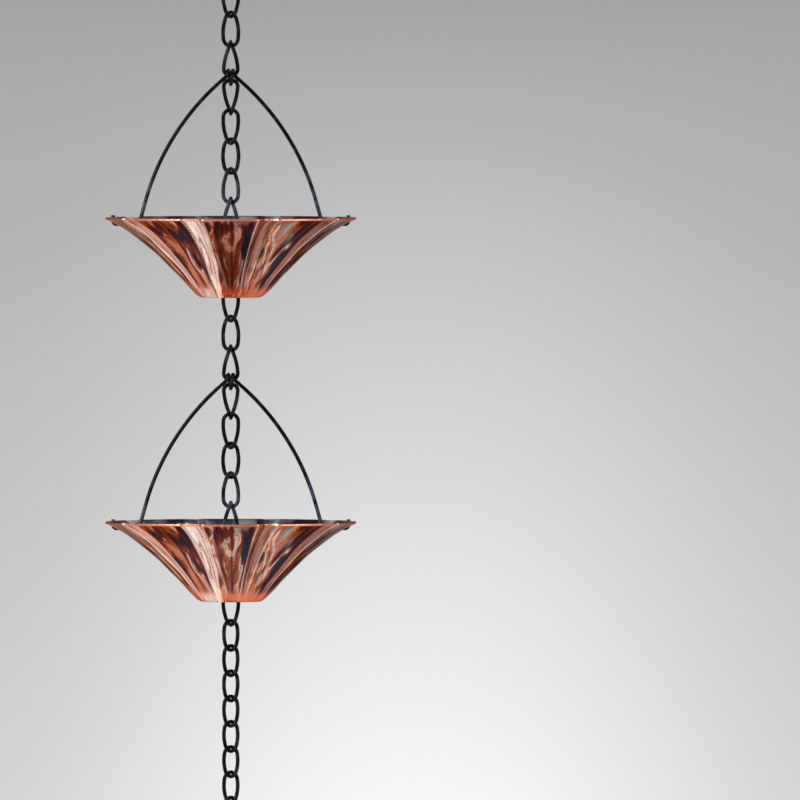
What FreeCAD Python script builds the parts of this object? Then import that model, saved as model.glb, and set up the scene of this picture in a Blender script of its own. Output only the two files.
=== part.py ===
import FreeCAD, Part
import math
import os
from FreeCAD import Placement, Rotation, Vector

# Rain chain with two petal cups, hung by its top link.
# Millimetres, +Z up, the camera side is -Y. The origin is the point in the
# top link where the hook that carries the chain touches it.

DRIVING_SIZES = [
    ("wire", 2.6, "diameter of the chain and bail wire"),
    ("clearance", 0.3, "gap left where one piece hangs on another"),
    ("link_pitch", 19.75, "step from one chain link to the next"),
    ("link_side", 5.6, "half width of a link at its middle, to the bend's corner"),
    ("link_crown", 5.2, "half width of a link's bow, to the bend's corner"),
    ("crown_bend", 4.6, "bend radius of the wire at a link's bow"),
    ("side_bend", 30.0, "bend radius of the wire at a link's middle"),
    ("link_twist", 90.0, "turn of a link's lower bow against its upper bow"),
    ("tail_pitch", 16.9, "step from one tail link to the next"),
    ("tail_side", 4.95, "half width of a tail link at its middle, to the bend's corner"),
    ("tail_crown", 4.75, "half width of a tail link's bow, to the bend's corner"),
    ("tail_bend", 4.2, "bend radius of the wire at a tail link's bow"),
    ("eye_radius", 4.68, "radius of the bail's eye, to the wire's middle"),
    ("eye_lead", 3.0, "step along the eye in one turn of its wire"),
    ("eye_ease", 0.65, "more room where the eye's two upper turns sit in a curved bow"),
    ("eye_exit_rise", 0.9, "height above the eye's middle where a leg leaves it"),
    ("eye_bend", 2.3, "bend radius where a leg leaves the eye"),
    ("knee_reach", 43.5, "distance of a leg's knee from the middle"),
    ("knee_drop", 34.5, "depth of a leg's knee below the eye"),
    ("knee_offset", 2.25, "distance of a leg's knee from the plane of the hooks"),
    ("hook_bend", 2.2, "bend radius of the hook at a leg's foot and below its tip"),
    ("hook_depth", 3.2, "depth of the hook holes below the rim"),
    ("hook_reach", 78.6, "distance of a hook's upright tip from the middle"),
    ("hook_tip", 2.9, "height of a hook's tip above the rim of the outer skin"),
    ("cup_drop", 94.9, "depth of the cup's rim below the bail's eye"),
    ("cup_depth", 52.2, "height of the cup's outer skin"),
    ("rim_radius", 84.0, "radius of the rim at a petal"),
    ("floor_radius", 19.0, "radius of the cup's flat floor"),
    ("floor_turn", 26.0, "radius where the floor's curve points up"),
    ("flare_radius", 49.0, "radius that the wall aims for before it flares"),
    ("flare_height", 37.5, "height that the wall aims for before it flares"),
    ("groove_depth", 10.0, "depth of the groove between petals at the rim"),
    ("sheet", 1.3, "upright thickness of the pressed sheet"),
    ("drain_radius", 12.0, "radius of the drain hole that the chain goes through"),
    ("drop_wire", 1.8, "diameter of the wire that holds the glass drop"),
    ("drop_bail_height", 13.0, "height of the drop's wire, between middles"),
    ("drop_bail_half", 6.6, "half width of the drop's wire at its foot"),
    ("drop_bail_bend", 1.7, "bend radius of the drop's wire at its foot"),
    ("drop_crown_half", 2.16, "half width of the drop's wire at its top, to the bend's corner"),
    ("drop_crown_bend", 2.7, "bend radius of the drop's wire at its top"),
    ("drop_height", 60.0, "height of the glass drop"),
    ("drop_radius", 17.0, "largest radius of the glass drop"),
    ("drop_tip", 2.6, "radius of the glass drop's flat top"),
    ("drop_neck", 3.6, "radius that the drop's neck aims for"),
    ("drop_hole_depth", 5.0, "depth of the drop's cross hole below its top"),
    ("cut_past", 1.5, "length by which a cut goes past the sheet"),
]

# Turn of each link about the upright axis, from the top down. Above an eye the last link has
# its lower bow across the view, and below an eye the first link has its upper bow there.
TOP_TURNS = [-15.0, 15.0, 45.0]
UPPER_TURNS = [-45.0, -22.5, 0.0, 22.5, 45.0, 83.0, 121.0, 159.0, 192.0, 225.0]
LOWER_TURNS = [-45.0, -22.5, 0.0, 22.5, 45.0, 83.0, 121.0, 159.0]
TAIL_TURNS = [174.0, 174.0, 174.0, 174.0, 174.0, 174.0, 174.0, 174.0]
PETALS = 10

# Direction of the first petal, which faces the camera side
FIRST_PETAL = -90.0

# Corners that lay out one turn of a bail's eye
EYE_CORNERS = 4

# Share of a leg's shorter run, above or below the knee, that its long bow takes up
LEG_BOW = 0.92

# One petal from its middle to the next groove: angle in degrees, and the
# share of the groove's depth that the wall lies in at that angle
PETAL_OUTLINE = [(0.0, 0.10), (8.0, 0.07), (13.2, 0.0), (15.6, 0.5), (18.0, 1.0)]

# Places along the wall, from floor to rim, where the cup's outline is laid
WALL_STATIONS = [0.0, 0.12, 0.25, 0.4, 0.55, 0.7, 0.85, 1.0]
GROOVE_START = 0.05
GROOVE_FULL = 0.65

# Where the side of the glass drop aims for, as a share of the way to its widest place
DROP_AIM = 0.5


doc = FreeCAD.newDocument("RainChain")
sheet = doc.addObject("Spreadsheet::Sheet", "Sizes")
for row, (alias, value, note) in enumerate(DRIVING_SIZES, 1):
    sheet.set(f"A{row}", note)
    sheet.set(f"B{row}", str(value))
    sheet.setAlias(f"B{row}", alias)
doc.recompute()


def size(alias):
    """A driving dimension, in millimetres or degrees."""
    return float(sheet.get(alias))


def turned(point, degrees):
    """A point turned about the upright axis."""
    return Rotation(Vector(0, 0, 1), degrees).multVec(point)


def bent_wire(points, bends):
    """An open path of straight runs joined by tangent arcs.

    points are the corners, ends included; bends are the radii of the
    corners between the ends.
    """
    edges = []
    reached = points[0]
    for before, corner, after, radius in zip(points, points[1:], points[2:], bends):
        back = (before - corner).normalize()
        ahead = (after - corner).normalize()
        half_turn = (math.pi - back.getAngle(ahead)) / 2
        tangent = radius * math.tan(half_turn)
        inward = (back + ahead).normalize()
        start = corner + back * tangent
        finish = corner + ahead * tangent
        middle = corner + inward * (radius / math.cos(half_turn) - radius)
        if (start - reached).Length > 1e-6:
            edges.append(Part.LineSegment(reached, start).toShape())
        edges.append(Part.Arc(start, middle, finish).toShape())
        reached = finish
    if (points[-1] - reached).Length > 1e-6:
        edges.append(Part.LineSegment(reached, points[-1]).toShape())
    return Part.Wire(edges)


def filling_bend(before, corner, after, share):
    """The bend radius that takes up a share of the shorter run at a corner."""
    back = before - corner
    ahead = after - corner
    half_turn = (math.pi - back.getAngle(ahead)) / 2
    return share * min(back.Length, ahead.Length) / math.tan(half_turn)


def add_shape(name, shape):
    """A construction shape in the document."""
    item = doc.addObject("Part::Feature", name)
    item.Shape = shape
    return item


def add_sweep(name, path, diameter_alias):
    """Round wire carried along a path, with its diameter bound to the sheet."""
    spine = add_shape(name + "_path", path)
    first = path.OrderedEdges[0]
    start = first.valueAt(first.FirstParameter)
    ahead = first.tangentAt(first.FirstParameter)
    section = doc.addObject("Part::Circle", name + "_section")
    section.Placement = Placement(start, Rotation(Vector(0, 0, 1), ahead))
    section.setExpression("Radius", f"Sizes.{diameter_alias} / 2")
    sweep = doc.addObject("Part::Sweep", name)
    sweep.Sections = [section]
    sweep.Spine = (spine, [f"Edge{n}" for n in range(1, len(path.Edges) + 1)])
    sweep.Solid = True
    sweep.Frenet = False
    return sweep


def add_copy(name, form):
    """A live copy of a form, which has a placement of its own."""
    copy = doc.addObject("Part::Compound", name)
    copy.Links = [form]
    return copy


def add_union(name, pieces):
    """Several shapes joined to one solid."""
    union = doc.addObject("Part::MultiFuse", name)
    union.Shapes = pieces
    return union


def hang(name, form, height, turn="0"):
    """A copy of a form as a sub-part, at a height and turn given as expressions."""
    node = add_copy(name, form)
    node.Label = name
    node.Placement = Placement(Vector(), Rotation(Vector(0, 0, 1), 1))
    node.setExpression("Placement.Base.z", height)
    node.setExpression("Placement.Rotation.Angle", turn)
    return node


def link_form(name, pitch, middle, crown, bend):
    """A twisted link: half a bent wire, and the same half turned about its middle."""
    half_height = (size(pitch) + size("wire") + size("clearance")) / 2
    top = Vector(0, 0, half_height)
    side = Vector(size(middle), 0, 0)
    outward = Vector(size(crown), 0, 0)
    half_twist = size("link_twist") / 2
    corners = [
        top,
        top + turned(outward, half_twist),
        side,
        turned(outward, -half_twist) - top,
        -top,
    ]
    bends = [size(bend), size("side_bend"), size(bend)]
    half = add_sweep(name + "_half", bent_wire(corners, bends), "wire")
    other = add_copy(name + "_other_half", half)
    other.Placement = Placement(Vector(), Rotation(Vector(0, 0, 1), 180))
    return add_union(name, [half, other])


def wall_point(station):
    """Radius and height of the cup's outer skin on a petal's edge, a cubic curve."""
    rest = 1 - station
    weights = [rest**3, 3 * rest**2 * station, 3 * rest * station**2, station**3]
    radii = [size("floor_radius"), size("floor_turn"), size("flare_radius"), size("rim_radius")]
    heights = [0.0, 0.0, size("flare_height"), size("cup_depth")]
    radius = sum(w * r for w, r in zip(weights, radii))
    height = sum(w * h for w, h in zip(weights, heights))
    return radius, height


def groove_share(station):
    """Depth of the grooves as a share of the radius: none at the floor, full near the rim."""
    rise = (station - GROOVE_START) / (GROOVE_FULL - GROOVE_START)
    rise = min(max(rise, 0.0), 1.0)
    return size("groove_depth") / size("rim_radius") * math.sin(rise * math.pi / 2)


def cup_outline(station):
    """The cup's outline at a station, one closed curve over all the petals."""
    radius, height = wall_point(station)
    share = groove_share(station)
    rising = PETAL_OUTLINE
    falling = [(-angle, depth) for angle, depth in rising[-2:0:-1]]
    points = []
    for petal in range(PETALS):
        middle = 360.0 / PETALS * petal + FIRST_PETAL
        for angle, depth in falling + rising:
            reach = radius * (1 - share * depth)
            points.append(turned(Vector(reach, 0, height), middle + angle))
    curve = Part.BSplineCurve()
    curve.interpolate(Points=points, PeriodicFlag=True)
    return curve.toShape()


def groove_wall_radius(height):
    """Radius of the outer skin in a groove at a height above the floor."""
    low, high = 0.0, 1.0
    for _ in range(50):
        station = (low + high) / 2
        if wall_point(station)[1] < height:
            low = station
        else:
            high = station
    return wall_point(low)[0] * (1 - groove_share(low))


# The hooks: where the bail's feet go through the cup's side grooves
hook_height = size("cup_depth") - size("hook_depth")
hole_radius = size("wire") / 2 + size("clearance")
hook_inside = groove_wall_radius(hook_height - hole_radius - size("sheet"))
hook_level = -size("cup_drop") - size("hook_depth")


def bail_form():
    """The bail: an eye of one turn and a half, two long bowed legs and two upturned hooks."""
    radius = size("eye_radius")
    quarter = size("eye_lead") / EYE_CORNERS
    across = [(corner + 0.5) * quarter for corner in range(EYE_CORNERS)]
    leg = Vector(across[3], radius, size("eye_exit_rise"))
    knee = Vector(size("knee_reach"), size("knee_offset"), -size("knee_drop"))
    foot = Vector(hook_inside - size("hook_bend"), 0, hook_level)
    right = [
        Vector(across[0], -radius, -radius),
        Vector(across[1], -radius, radius),
        Vector(across[2], radius, radius),
        leg,
        knee,
        foot,
        Vector(size("hook_reach"), 0, hook_level),
        Vector(size("hook_reach"), 0, size("hook_tip") - size("cup_drop")),
    ]
    left = [turned(point, 180) for point in reversed(right)]
    eye_bends = [radius, radius, size("eye_bend"), size("eye_bend")]
    leg_bow = filling_bend(leg, knee, foot, LEG_BOW)
    bends = eye_bends + [leg_bow, size("hook_bend"), size("hook_bend")]
    return add_sweep("bail_form", bent_wire(left + right, bends[::-1] + bends), "wire")


def cup_form():
    """The cup: a skin of ten petals, given its thickness upright, with drain and hook holes."""
    outlines = [cup_outline(station) for station in WALL_STATIONS]
    skin = doc.addObject("Part::Loft", "cup_skin")
    skin.Sections = [add_shape(f"cup_outline_{n}", shape) for n, shape in enumerate(outlines)]
    skin.Solid = False
    skin.Ruled = False
    floor = add_shape("cup_floor", Part.Face(Part.Wire([outlines[0]])))
    pressed = []
    for name, surface in (("cup_wall", skin), ("cup_base", floor)):
        thick = doc.addObject("Part::Extrusion", name)
        thick.Base = surface
        thick.DirMode = "Custom"
        thick.Dir = Vector(0, 0, 1)
        thick.setExpression("LengthFwd", "Sizes.sheet")
        pressed.append(thick)
    blank = add_union("cup_blank", pressed)

    drain = doc.addObject("Part::Cylinder", "cup_drain")
    drain.setExpression("Radius", "Sizes.drain_radius")
    drain.setExpression("Height", "Sizes.sheet + 2 * Sizes.cut_past")
    drain.setExpression("Placement.Base.z", "-Sizes.cut_past")
    bore = doc.addObject("Part::Cylinder", "cup_hook_bore")
    bore.setExpression("Radius", "Sizes.wire / 2 + Sizes.clearance")
    bore.setExpression("Height", "2 * Sizes.rim_radius")
    bore.Placement = Placement(Vector(), Rotation(Vector(0, 1, 0), 90))
    bore.setExpression("Placement.Base.x", "-Sizes.rim_radius")
    bore.setExpression("Placement.Base.z", "Sizes.cup_depth - Sizes.hook_depth")
    holes = add_union("cup_holes", [drain, bore])
    cup = doc.addObject("Part::Cut", "cup_form")
    cup.Base = blank
    cup.Tool = holes
    return cup


def drop_bail_form():
    """The drop's wire: a narrow triangle with a straight foot through the glass."""
    height = size("drop_bail_height")
    half = size("drop_bail_half")
    foot = Vector(0, 0, -height)
    crown = Vector(size("drop_crown_half"), 0, 0)
    right = [Vector(), crown, foot + Vector(half, 0, 0), foot]
    bends = [size("drop_crown_bend"), size("drop_bail_bend")]
    half_wire = add_sweep("drop_bail_half", bent_wire(right, bends), "drop_wire")
    other = add_copy("drop_bail_other_half", half_wire)
    other.Placement = Placement(Vector(), Rotation(Vector(0, 0, 1), 180))
    return add_union("drop_bail_form", [half_wire, other])


def drop_form():
    """The glass drop: a turned teardrop with a cross hole near its top."""
    top = Vector()
    shoulder = Vector(size("drop_tip"), 0, 0)
    bottom = Vector(0, 0, -size("drop_height"))
    belly = size("drop_radius")
    middle = bottom + Vector(0, 0, belly)
    widest = middle + Vector(belly, 0, 0)
    lower = middle + Vector(belly, 0, -belly) * math.sqrt(0.5)
    side = Part.BezierCurve()
    neck = Vector(size("drop_neck"), 0, 0) + middle * DROP_AIM
    side.setPoles([shoulder, neck, widest - middle * DROP_AIM, widest])
    edges = [
        Part.LineSegment(top, shoulder).toShape(),
        side.toShape(),
        Part.Arc(widest, lower, bottom).toShape(),
        Part.LineSegment(bottom, top).toShape(),
    ]
    outline = add_shape("drop_outline", Part.Face(Part.Wire(edges)))
    body = doc.addObject("Part::Revolution", "drop_body")
    body.Source = outline
    body.Axis = Vector(0, 0, 1)
    body.Angle = 360
    body.Solid = True
    hole = doc.addObject("Part::Cylinder", "drop_hole")
    hole.setExpression("Radius", "Sizes.drop_wire / 2 + Sizes.clearance")
    hole.setExpression("Height", "2 * Sizes.drop_radius")
    hole.Placement = Placement(Vector(), Rotation(Vector(0, 1, 0), 90))
    hole.setExpression("Placement.Base.x", "-Sizes.drop_radius")
    hole.setExpression("Placement.Base.z", "-Sizes.drop_hole_depth")
    drop = doc.addObject("Part::Cut", "drop_form")
    drop.Base = body
    drop.Tool = hole
    return drop


# Heights, as expressions that follow the driving sizes
SEAT = "(Sizes.wire + Sizes.clearance)"
HALF_LINK = f"(Sizes.link_pitch + {SEAT}) / 2"
HALF_TAIL = f"(Sizes.tail_pitch + {SEAT}) / 2"


def run_of_links(names, form, first_middle, pitch, half_height, turns):
    """Links of one form hung one below the other; gives the last one's lower bow."""
    for step, (name, turn) in enumerate(zip(names, turns)):
        height = f"{first_middle} - {step} * Sizes.{pitch}"
        nodes.append(hang(name, form, height, str(turn)))
    return f"({first_middle} - {len(turns) - 1} * Sizes.{pitch} - {half_height})"


nodes = []
chain_link = link_form("link_form", "link_pitch", "link_side", "link_crown", "crown_bend")
tail_link = link_form("tail_form", "tail_pitch", "tail_side", "tail_crown", "tail_bend")
bail = bail_form()
cup = cup_form()

all_turns = TOP_TURNS + UPPER_TURNS + LOWER_TURNS
link_names = [f"link_{number:02d}" for number in range(1, len(all_turns) + 1)]
upper_first = len(TOP_TURNS)
lower_first = upper_first + len(UPPER_TURNS)
upper_names = link_names[upper_first:lower_first]
lower_names = link_names[lower_first:]

top_middle = f"Sizes.wire / 2 - {HALF_LINK}"
low_bow = run_of_links(link_names, chain_link, top_middle, "link_pitch", HALF_LINK, TOP_TURNS)
for place, names, turns in (("upper", upper_names, UPPER_TURNS), ("lower", lower_names, LOWER_TURNS)):
    eye = f"({low_bow} + {SEAT} + Sizes.eye_ease - Sizes.eye_radius)"
    nodes.append(hang(f"{place}_bail", bail, eye))
    nodes.append(hang(f"{place}_cup", cup, f"{eye} - Sizes.cup_drop - Sizes.cup_depth"))
    first_middle = f"({eye} - Sizes.eye_radius + {SEAT} - {HALF_LINK})"
    low_bow = run_of_links(names, chain_link, first_middle, "link_pitch", HALF_LINK, turns)

tail_names = [f"tail_link_{number}" for number in range(1, len(TAIL_TURNS) + 1)]
tail_middle = f"({low_bow} + {SEAT} - {HALF_TAIL})"
low_bow = run_of_links(tail_names, tail_link, tail_middle, "tail_pitch", HALF_TAIL, TAIL_TURNS)

drop_turn = f"{TAIL_TURNS[-1]} + Sizes.link_twist / 2"
crown = f"({low_bow} + (Sizes.wire + Sizes.drop_wire) / 2 + Sizes.clearance)"
nodes.append(hang("drop_bail", drop_bail_form(), crown, drop_turn))
drop_top = f"{crown} - Sizes.drop_bail_height + Sizes.drop_hole_depth"
nodes.append(hang("glass_drop", drop_form(), drop_top, drop_turn))

doc.recompute()

failed = [item.Name for item in doc.Objects if {"Invalid", "Error"} & set(item.State)]
failed += [node.Label for node in nodes if node.Shape.isNull() or not node.Shape.isValid()]
if failed:
    raise RuntimeError("not built: " + ", ".join(failed))

os.makedirs("parts", exist_ok=True)
for node in nodes:
    node.Shape.exportStep(f"parts/{node.Label}.step")
    box = node.Shape.BoundBox
    print(f"{node.Label:14s} solids {len(node.Shape.Solids)} volume {node.Shape.Volume:9.1f}"
          f" z {box.ZMin:8.2f} to {box.ZMax:8.2f} x {box.XMin:7.2f} to {box.XMax:7.2f}")
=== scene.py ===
import math
from types import SimpleNamespace

import bpy
import numpy as np
from bpy.props import FloatProperty, FloatVectorProperty, IntProperty, PointerProperty
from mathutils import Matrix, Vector


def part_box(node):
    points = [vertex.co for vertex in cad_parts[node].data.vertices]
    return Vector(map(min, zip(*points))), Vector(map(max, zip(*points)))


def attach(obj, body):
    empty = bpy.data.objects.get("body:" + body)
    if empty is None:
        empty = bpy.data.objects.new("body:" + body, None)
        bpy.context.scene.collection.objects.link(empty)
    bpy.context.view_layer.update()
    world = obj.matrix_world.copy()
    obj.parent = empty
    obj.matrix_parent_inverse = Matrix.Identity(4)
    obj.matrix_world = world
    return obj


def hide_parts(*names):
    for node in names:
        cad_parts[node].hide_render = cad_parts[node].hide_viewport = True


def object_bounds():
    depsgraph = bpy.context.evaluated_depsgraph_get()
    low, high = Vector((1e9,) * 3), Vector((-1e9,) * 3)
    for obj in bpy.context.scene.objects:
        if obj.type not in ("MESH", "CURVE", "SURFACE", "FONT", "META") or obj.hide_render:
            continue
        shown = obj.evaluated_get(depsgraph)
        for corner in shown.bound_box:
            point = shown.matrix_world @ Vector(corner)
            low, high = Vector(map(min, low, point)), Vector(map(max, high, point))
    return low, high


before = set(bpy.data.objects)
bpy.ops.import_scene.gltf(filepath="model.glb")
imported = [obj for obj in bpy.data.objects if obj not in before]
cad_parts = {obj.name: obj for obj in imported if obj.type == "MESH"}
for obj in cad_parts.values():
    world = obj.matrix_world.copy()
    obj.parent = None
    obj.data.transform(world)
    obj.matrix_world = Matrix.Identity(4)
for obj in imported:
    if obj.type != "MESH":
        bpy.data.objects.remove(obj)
CAD_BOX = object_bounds()

bl_info = {
    "name": "Rain Chain",
    "version": (1, 0, 0),
    "blender": (4, 5, 0),
    "location": "View3D > Sidebar > Rain Chain",
    "description": "Dresses a hanging rain chain: black wire, fluted copper cups and a glass drop",
    "category": "Object",
}

CUPS = ("upper_cup", "lower_cup")
BAILS = ("upper_bail", "lower_bail")
COAT = "satin_black_coat"
# Edges that turn by more than this stay sharp
SHARP_ANGLE = math.radians(50)

# One petal from its middle to the next groove: angle in degrees, and the
# share of the groove's depth that the wall lies in at that angle
PETAL_ANGLE = np.array([0.0, 8.0, 13.2, 15.6, 18.0])
PETAL_DEPTH = np.array([0.10, 0.07, 0.0, 0.5, 1.0])
HALF_PETAL = PETAL_ANGLE[-1]
# Half the width of the round at each fold, in degrees
FOLD_ROUND = 0.9
# Stations on the wall where the grooves start and where they reach their full depth
GROOVE_START = 0.05
GROOVE_FULL = 0.65
# How far the rim's half round bulges out, as a share of half the sheet's thickness
RIM_BULGE = 0.45

# Columns of the cup's grid over half a petal, closest at the fold, and its rows
FOLD_ANGLES = np.array([0, 2, 4, 6, 8, 9.5, 11, 12, 12.6, 13.1, 13.6, 14.2, 15, 15.8, 16.5, 17.1, 17.5, 17.8])
FLOOR_ROWS = 6
WALL_ROWS = 84
RIM_ROWS = 7

# Turn of each link about the upright axis in degrees, from the top down
TOP_TURNS = (-15.0, 15.0, 45.0)
UPPER_TURNS = (-45.0, -22.5, 0.0, 22.5, 45.0, 83.0, 121.0, 159.0, 192.0, 225.0)
LOWER_TURNS = (-45.0, -22.5, 0.0, 22.5, 45.0, 83.0, 121.0, 159.0)
TAIL_TURN = 174.0
DROP_TURN = TAIL_TURN + 45.0

# Turn of the fold at the left of the front petal, and how far round from it the cup's films are darkest, at
# its right side, in radians
FRONT_FOLD = math.radians(-108.0)
DARKER_SIDE_TURN = 1.70
# Heat at which each film first shows and at which it is full
BROWN_HEAT = (0.38, 0.48)
RED_HEAT = (0.49, 0.56)
BLUE_HEAT = (0.575, 0.62)
# Places across a petal, 0 at its middle and 1 at the groove: where a zone starts and is
# full, and where it starts to end and has ended
BESIDE_CREST = ((0.42, 0.64), (0.66, 0.72))
CREST = ((0.69, 0.735), (0.745, 0.785))
FLANK = (0.755, 0.80)
GROOVE = (0.955, 0.99)

# Each lamp's place, width and height in metres, and power in watts
LAMPS = {
    "left_lamp": ((-1.7, -1.5, 0.1), (0.8, 1.6), 82.0),
    "right_lamp": ((1.9, -1.0, -0.2), (1.0, 2.4), 26.0),
    "top_lamp": ((0.2, 0.4, 1.7), (1.6, 1.2), 20.0),
}
LAMP_AIM = (0.0, 0.0, -0.26)
# Light that the surroundings give to rough surfaces
AMBIENT = (0.6, 0.6, 0.605)
# Width of the camera's sensor in millimetres, and how far it sees in metres
SENSOR = 36.0
FAR_CLIP = 100.0
# Radius of the floor in metres, and the distances between which it fades out
FLOOR_RADIUS = 1.6
FLOOR_FADE = (0.7, 1.5)


def length(name, description, default):
    """A size that a user would change."""
    return FloatProperty(name=name, description=description, default=default, unit="LENGTH", precision=4)


def colour(name, description, default):
    """A colour that a user would change."""
    return FloatVectorProperty(
        name=name, description=description, default=default, subtype="COLOR", size=3, min=0.0, max=1.0
    )


class CupSettings(bpy.types.PropertyGroup):
    """Sizes and colours of the copper cups."""

    petals: IntProperty(name="Petals", description="Petals round a cup", default=10, min=3)
    rim_radius: length("Rim radius", "Radius of the rim at a petal", 0.084)
    floor_radius: length("Floor radius", "Radius of the flat floor", 0.019)
    floor_turn: length("Floor turn", "Radius where the floor's curve points up", 0.026)
    flare_radius: length("Flare radius", "Radius that the wall aims for before it flares", 0.049)
    flare_height: length("Flare height", "Height that the wall aims for before it flares", 0.0375)
    depth: length("Depth", "Height of the outer skin", 0.0522)
    groove_depth: length("Groove depth", "Depth of the groove between petals at the rim", 0.010)
    sheet: length("Sheet", "Upright thickness of the pressed sheet", 0.0013)
    drain_radius: length("Drain radius", "Radius of the hole that the chain goes through", 0.012)
    hook_depth: length("Hook depth", "Depth of the hook holes below the rim", 0.0032)
    hook_radius: length("Hook hole radius", "Radius of the hook holes", 0.0016)
    ripple: length("Ripple", "Depth of the hand-worked ripples in the sheet", 0.0004)
    pattern: FloatProperty(
        name="Pattern", description="Which part of the flame's pattern is shown", default=51.8
    )
    # Pale copper painted as highlights: on the folds' flanks and crests, in thin streaks, and at one place on
    # the floor's edge
    bright: colour("Bright copper", "Polished copper on the folds between petals", (0.97, 0.79, 0.71))
    inner: colour("Inner copper", "Copper inside a cup, where the flame didn't reach", (0.92, 0.58, 0.44))
    warm: colour("Warm copper", "Copper on the open faces", (0.60, 0.195, 0.105))
    brown: colour("Fired brown", "Brown film left by the flame", (0.36, 0.105, 0.052))
    red: colour("Fired red", "Dark red film left by the flame", (0.165, 0.043, 0.036))
    blue: colour("Fired blue", "Blue-black film in the darkest places", (0.020, 0.034, 0.054))
    grey: colour("Fired grey", "Pale blue-grey film near the rim", (0.36, 0.385, 0.38))
    edge: colour("Rim edge", "Red-orange copper on the cut edge and the floor", (0.86, 0.225, 0.125))


class WireSettings(bpy.types.PropertyGroup):
    """Sizes and colours of the links and the bails."""

    wire: length("Wire", "Thickness of the wire", 0.0026)
    link_side: length("Link side", "Half width that a link's sides aim for", 0.0056)
    link_crown: length("Link bow", "Half width that a link's bows aim for", 0.0052)
    link_bend: length("Link bend", "Bend radius of a link's bows", 0.0046)
    tail_side: length("Tail side", "Half width that a tail link's sides aim for", 0.00495)
    tail_crown: length("Tail bow", "Half width that a tail link's bows aim for", 0.00475)
    tail_bend: length("Tail bend", "Bend radius of a tail link's bows", 0.0042)
    side_bend: length("Side bend", "Bend radius of a link's sides", 0.030)
    eye_radius: length("Eye radius", "Radius of a bail's eye", 0.00468)
    eye_lead: length("Eye lead", "Length of one turn of the eye along its axis", 0.0030)
    eye_bend: length("Eye bend", "Bend radius where the eye leaves for a leg", 0.0023)
    eye_exit_rise: length("Eye exit", "Height at which the eye turns into a leg", 0.0009)
    knee: FloatVectorProperty(
        name="Knee",
        description="Where a leg's long bow aims for",
        default=(0.0435, 0.00225, -0.0345),
        unit="LENGTH",
    )
    leg_bow: FloatProperty(
        name="Leg bow",
        description="Share of a leg's shorter run that its bow takes up",
        default=0.92,
        min=0.1,
        max=1.0,
    )
    cup_drop: length("Cup drop", "Height of the eye's middle over the cup's rim", 0.0949)
    hook_bend: length("Hook bend", "Bend radius of the hooks", 0.0022)
    hook_reach: length("Hook reach", "Distance of the hooks' tips from the chain", 0.0786)
    hook_tip: length("Hook tip", "Height of the hooks' tips over the cup's rim", 0.0029)
    tip_round: length("Tip round", "Rounding of the wire's cut ends", 0.0004)
    coat: colour("Coat", "Black of the coated wire", (0.0022, 0.0024, 0.0027))
    # Blue-grey for random patches of wear, and for a painted highlight just above each cup's rim
    worn_and_highlight: colour("Worn coat", "Blue-grey where the coat is thin", (0.032, 0.047, 0.062))
    roughness: FloatProperty(
        name="Roughness",
        description="Roughness of the coat",
        default=0.17,
        subtype="FACTOR",
        min=0.0,
        max=1.0,
    )


class DropSettings(bpy.types.PropertyGroup):
    """Sizes and colours of the glass drop and its wire."""

    radius: length("Radius", "Largest radius of the drop", 0.017)
    tip: length("Tip", "Radius of the drop's flat top", 0.0026)
    neck: length("Neck", "Radius that the drop's neck aims for", 0.0036)
    hole_depth: length("Hole depth", "Depth of the cross hole below the top", 0.0050)
    hole_radius: length("Hole radius", "Radius of the cross hole", 0.0012)
    wire_size: length("Wire size", "Thickness of the drop's wire", 0.0018)
    crown_half: length("Wire bow", "Half width that the wire's bow aims for", 0.00216)
    crown_bend: length("Wire bow bend", "Bend radius of the wire's bow", 0.0027)
    foot_half: length("Wire foot", "Half width that the wire's foot aims for", 0.0066)
    foot_bend: length("Wire foot bend", "Bend radius beside the wire's foot", 0.0017)
    amber: colour("Amber", "Colour of the drop's belly", (1.0, 0.66, 0.07))
    honey: colour("Honey", "Deeper colour towards the drop's neck", (0.86, 0.36, 0.015))
    wire: colour("Wire", "Copper of the drop's wire", (0.70, 0.29, 0.16))


class StageSettings(bpy.types.PropertyGroup):
    """The camera, the backdrop and the floor."""

    frame_width: length("Frame width", "Width that the camera sees at the chain", 0.5347)
    aim_across: length("Aim across", "Where the camera looks, to the chain's right", 0.1131)
    aim_height: length("Aim height", "Where the camera looks, from the chain's top", -0.2776)
    lens: FloatProperty(name="Lens", description="Focal length in millimetres", default=1500.0, min=1.0)
    tilt: FloatProperty(
        name="Tilt",
        description="Angle of the camera above the chain",
        default=math.radians(1.1),
        subtype="ANGLE",
    )
    sky_top: colour("Backdrop top", "Grey at the top of the picture", (0.375, 0.375, 0.377))
    sky_foot: colour("Backdrop foot", "Near white at the foot of the picture", (0.93, 0.93, 0.93))
    sky_side: colour("Backdrop side", "Grey at the foot's two sides", (0.655, 0.655, 0.655))
    floor: colour("Floor", "Pale floor under the chain", (0.68, 0.68, 0.68))
    floor_drop: length("Floor distance", "Distance from the drop down to the floor", 0.10)


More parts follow.
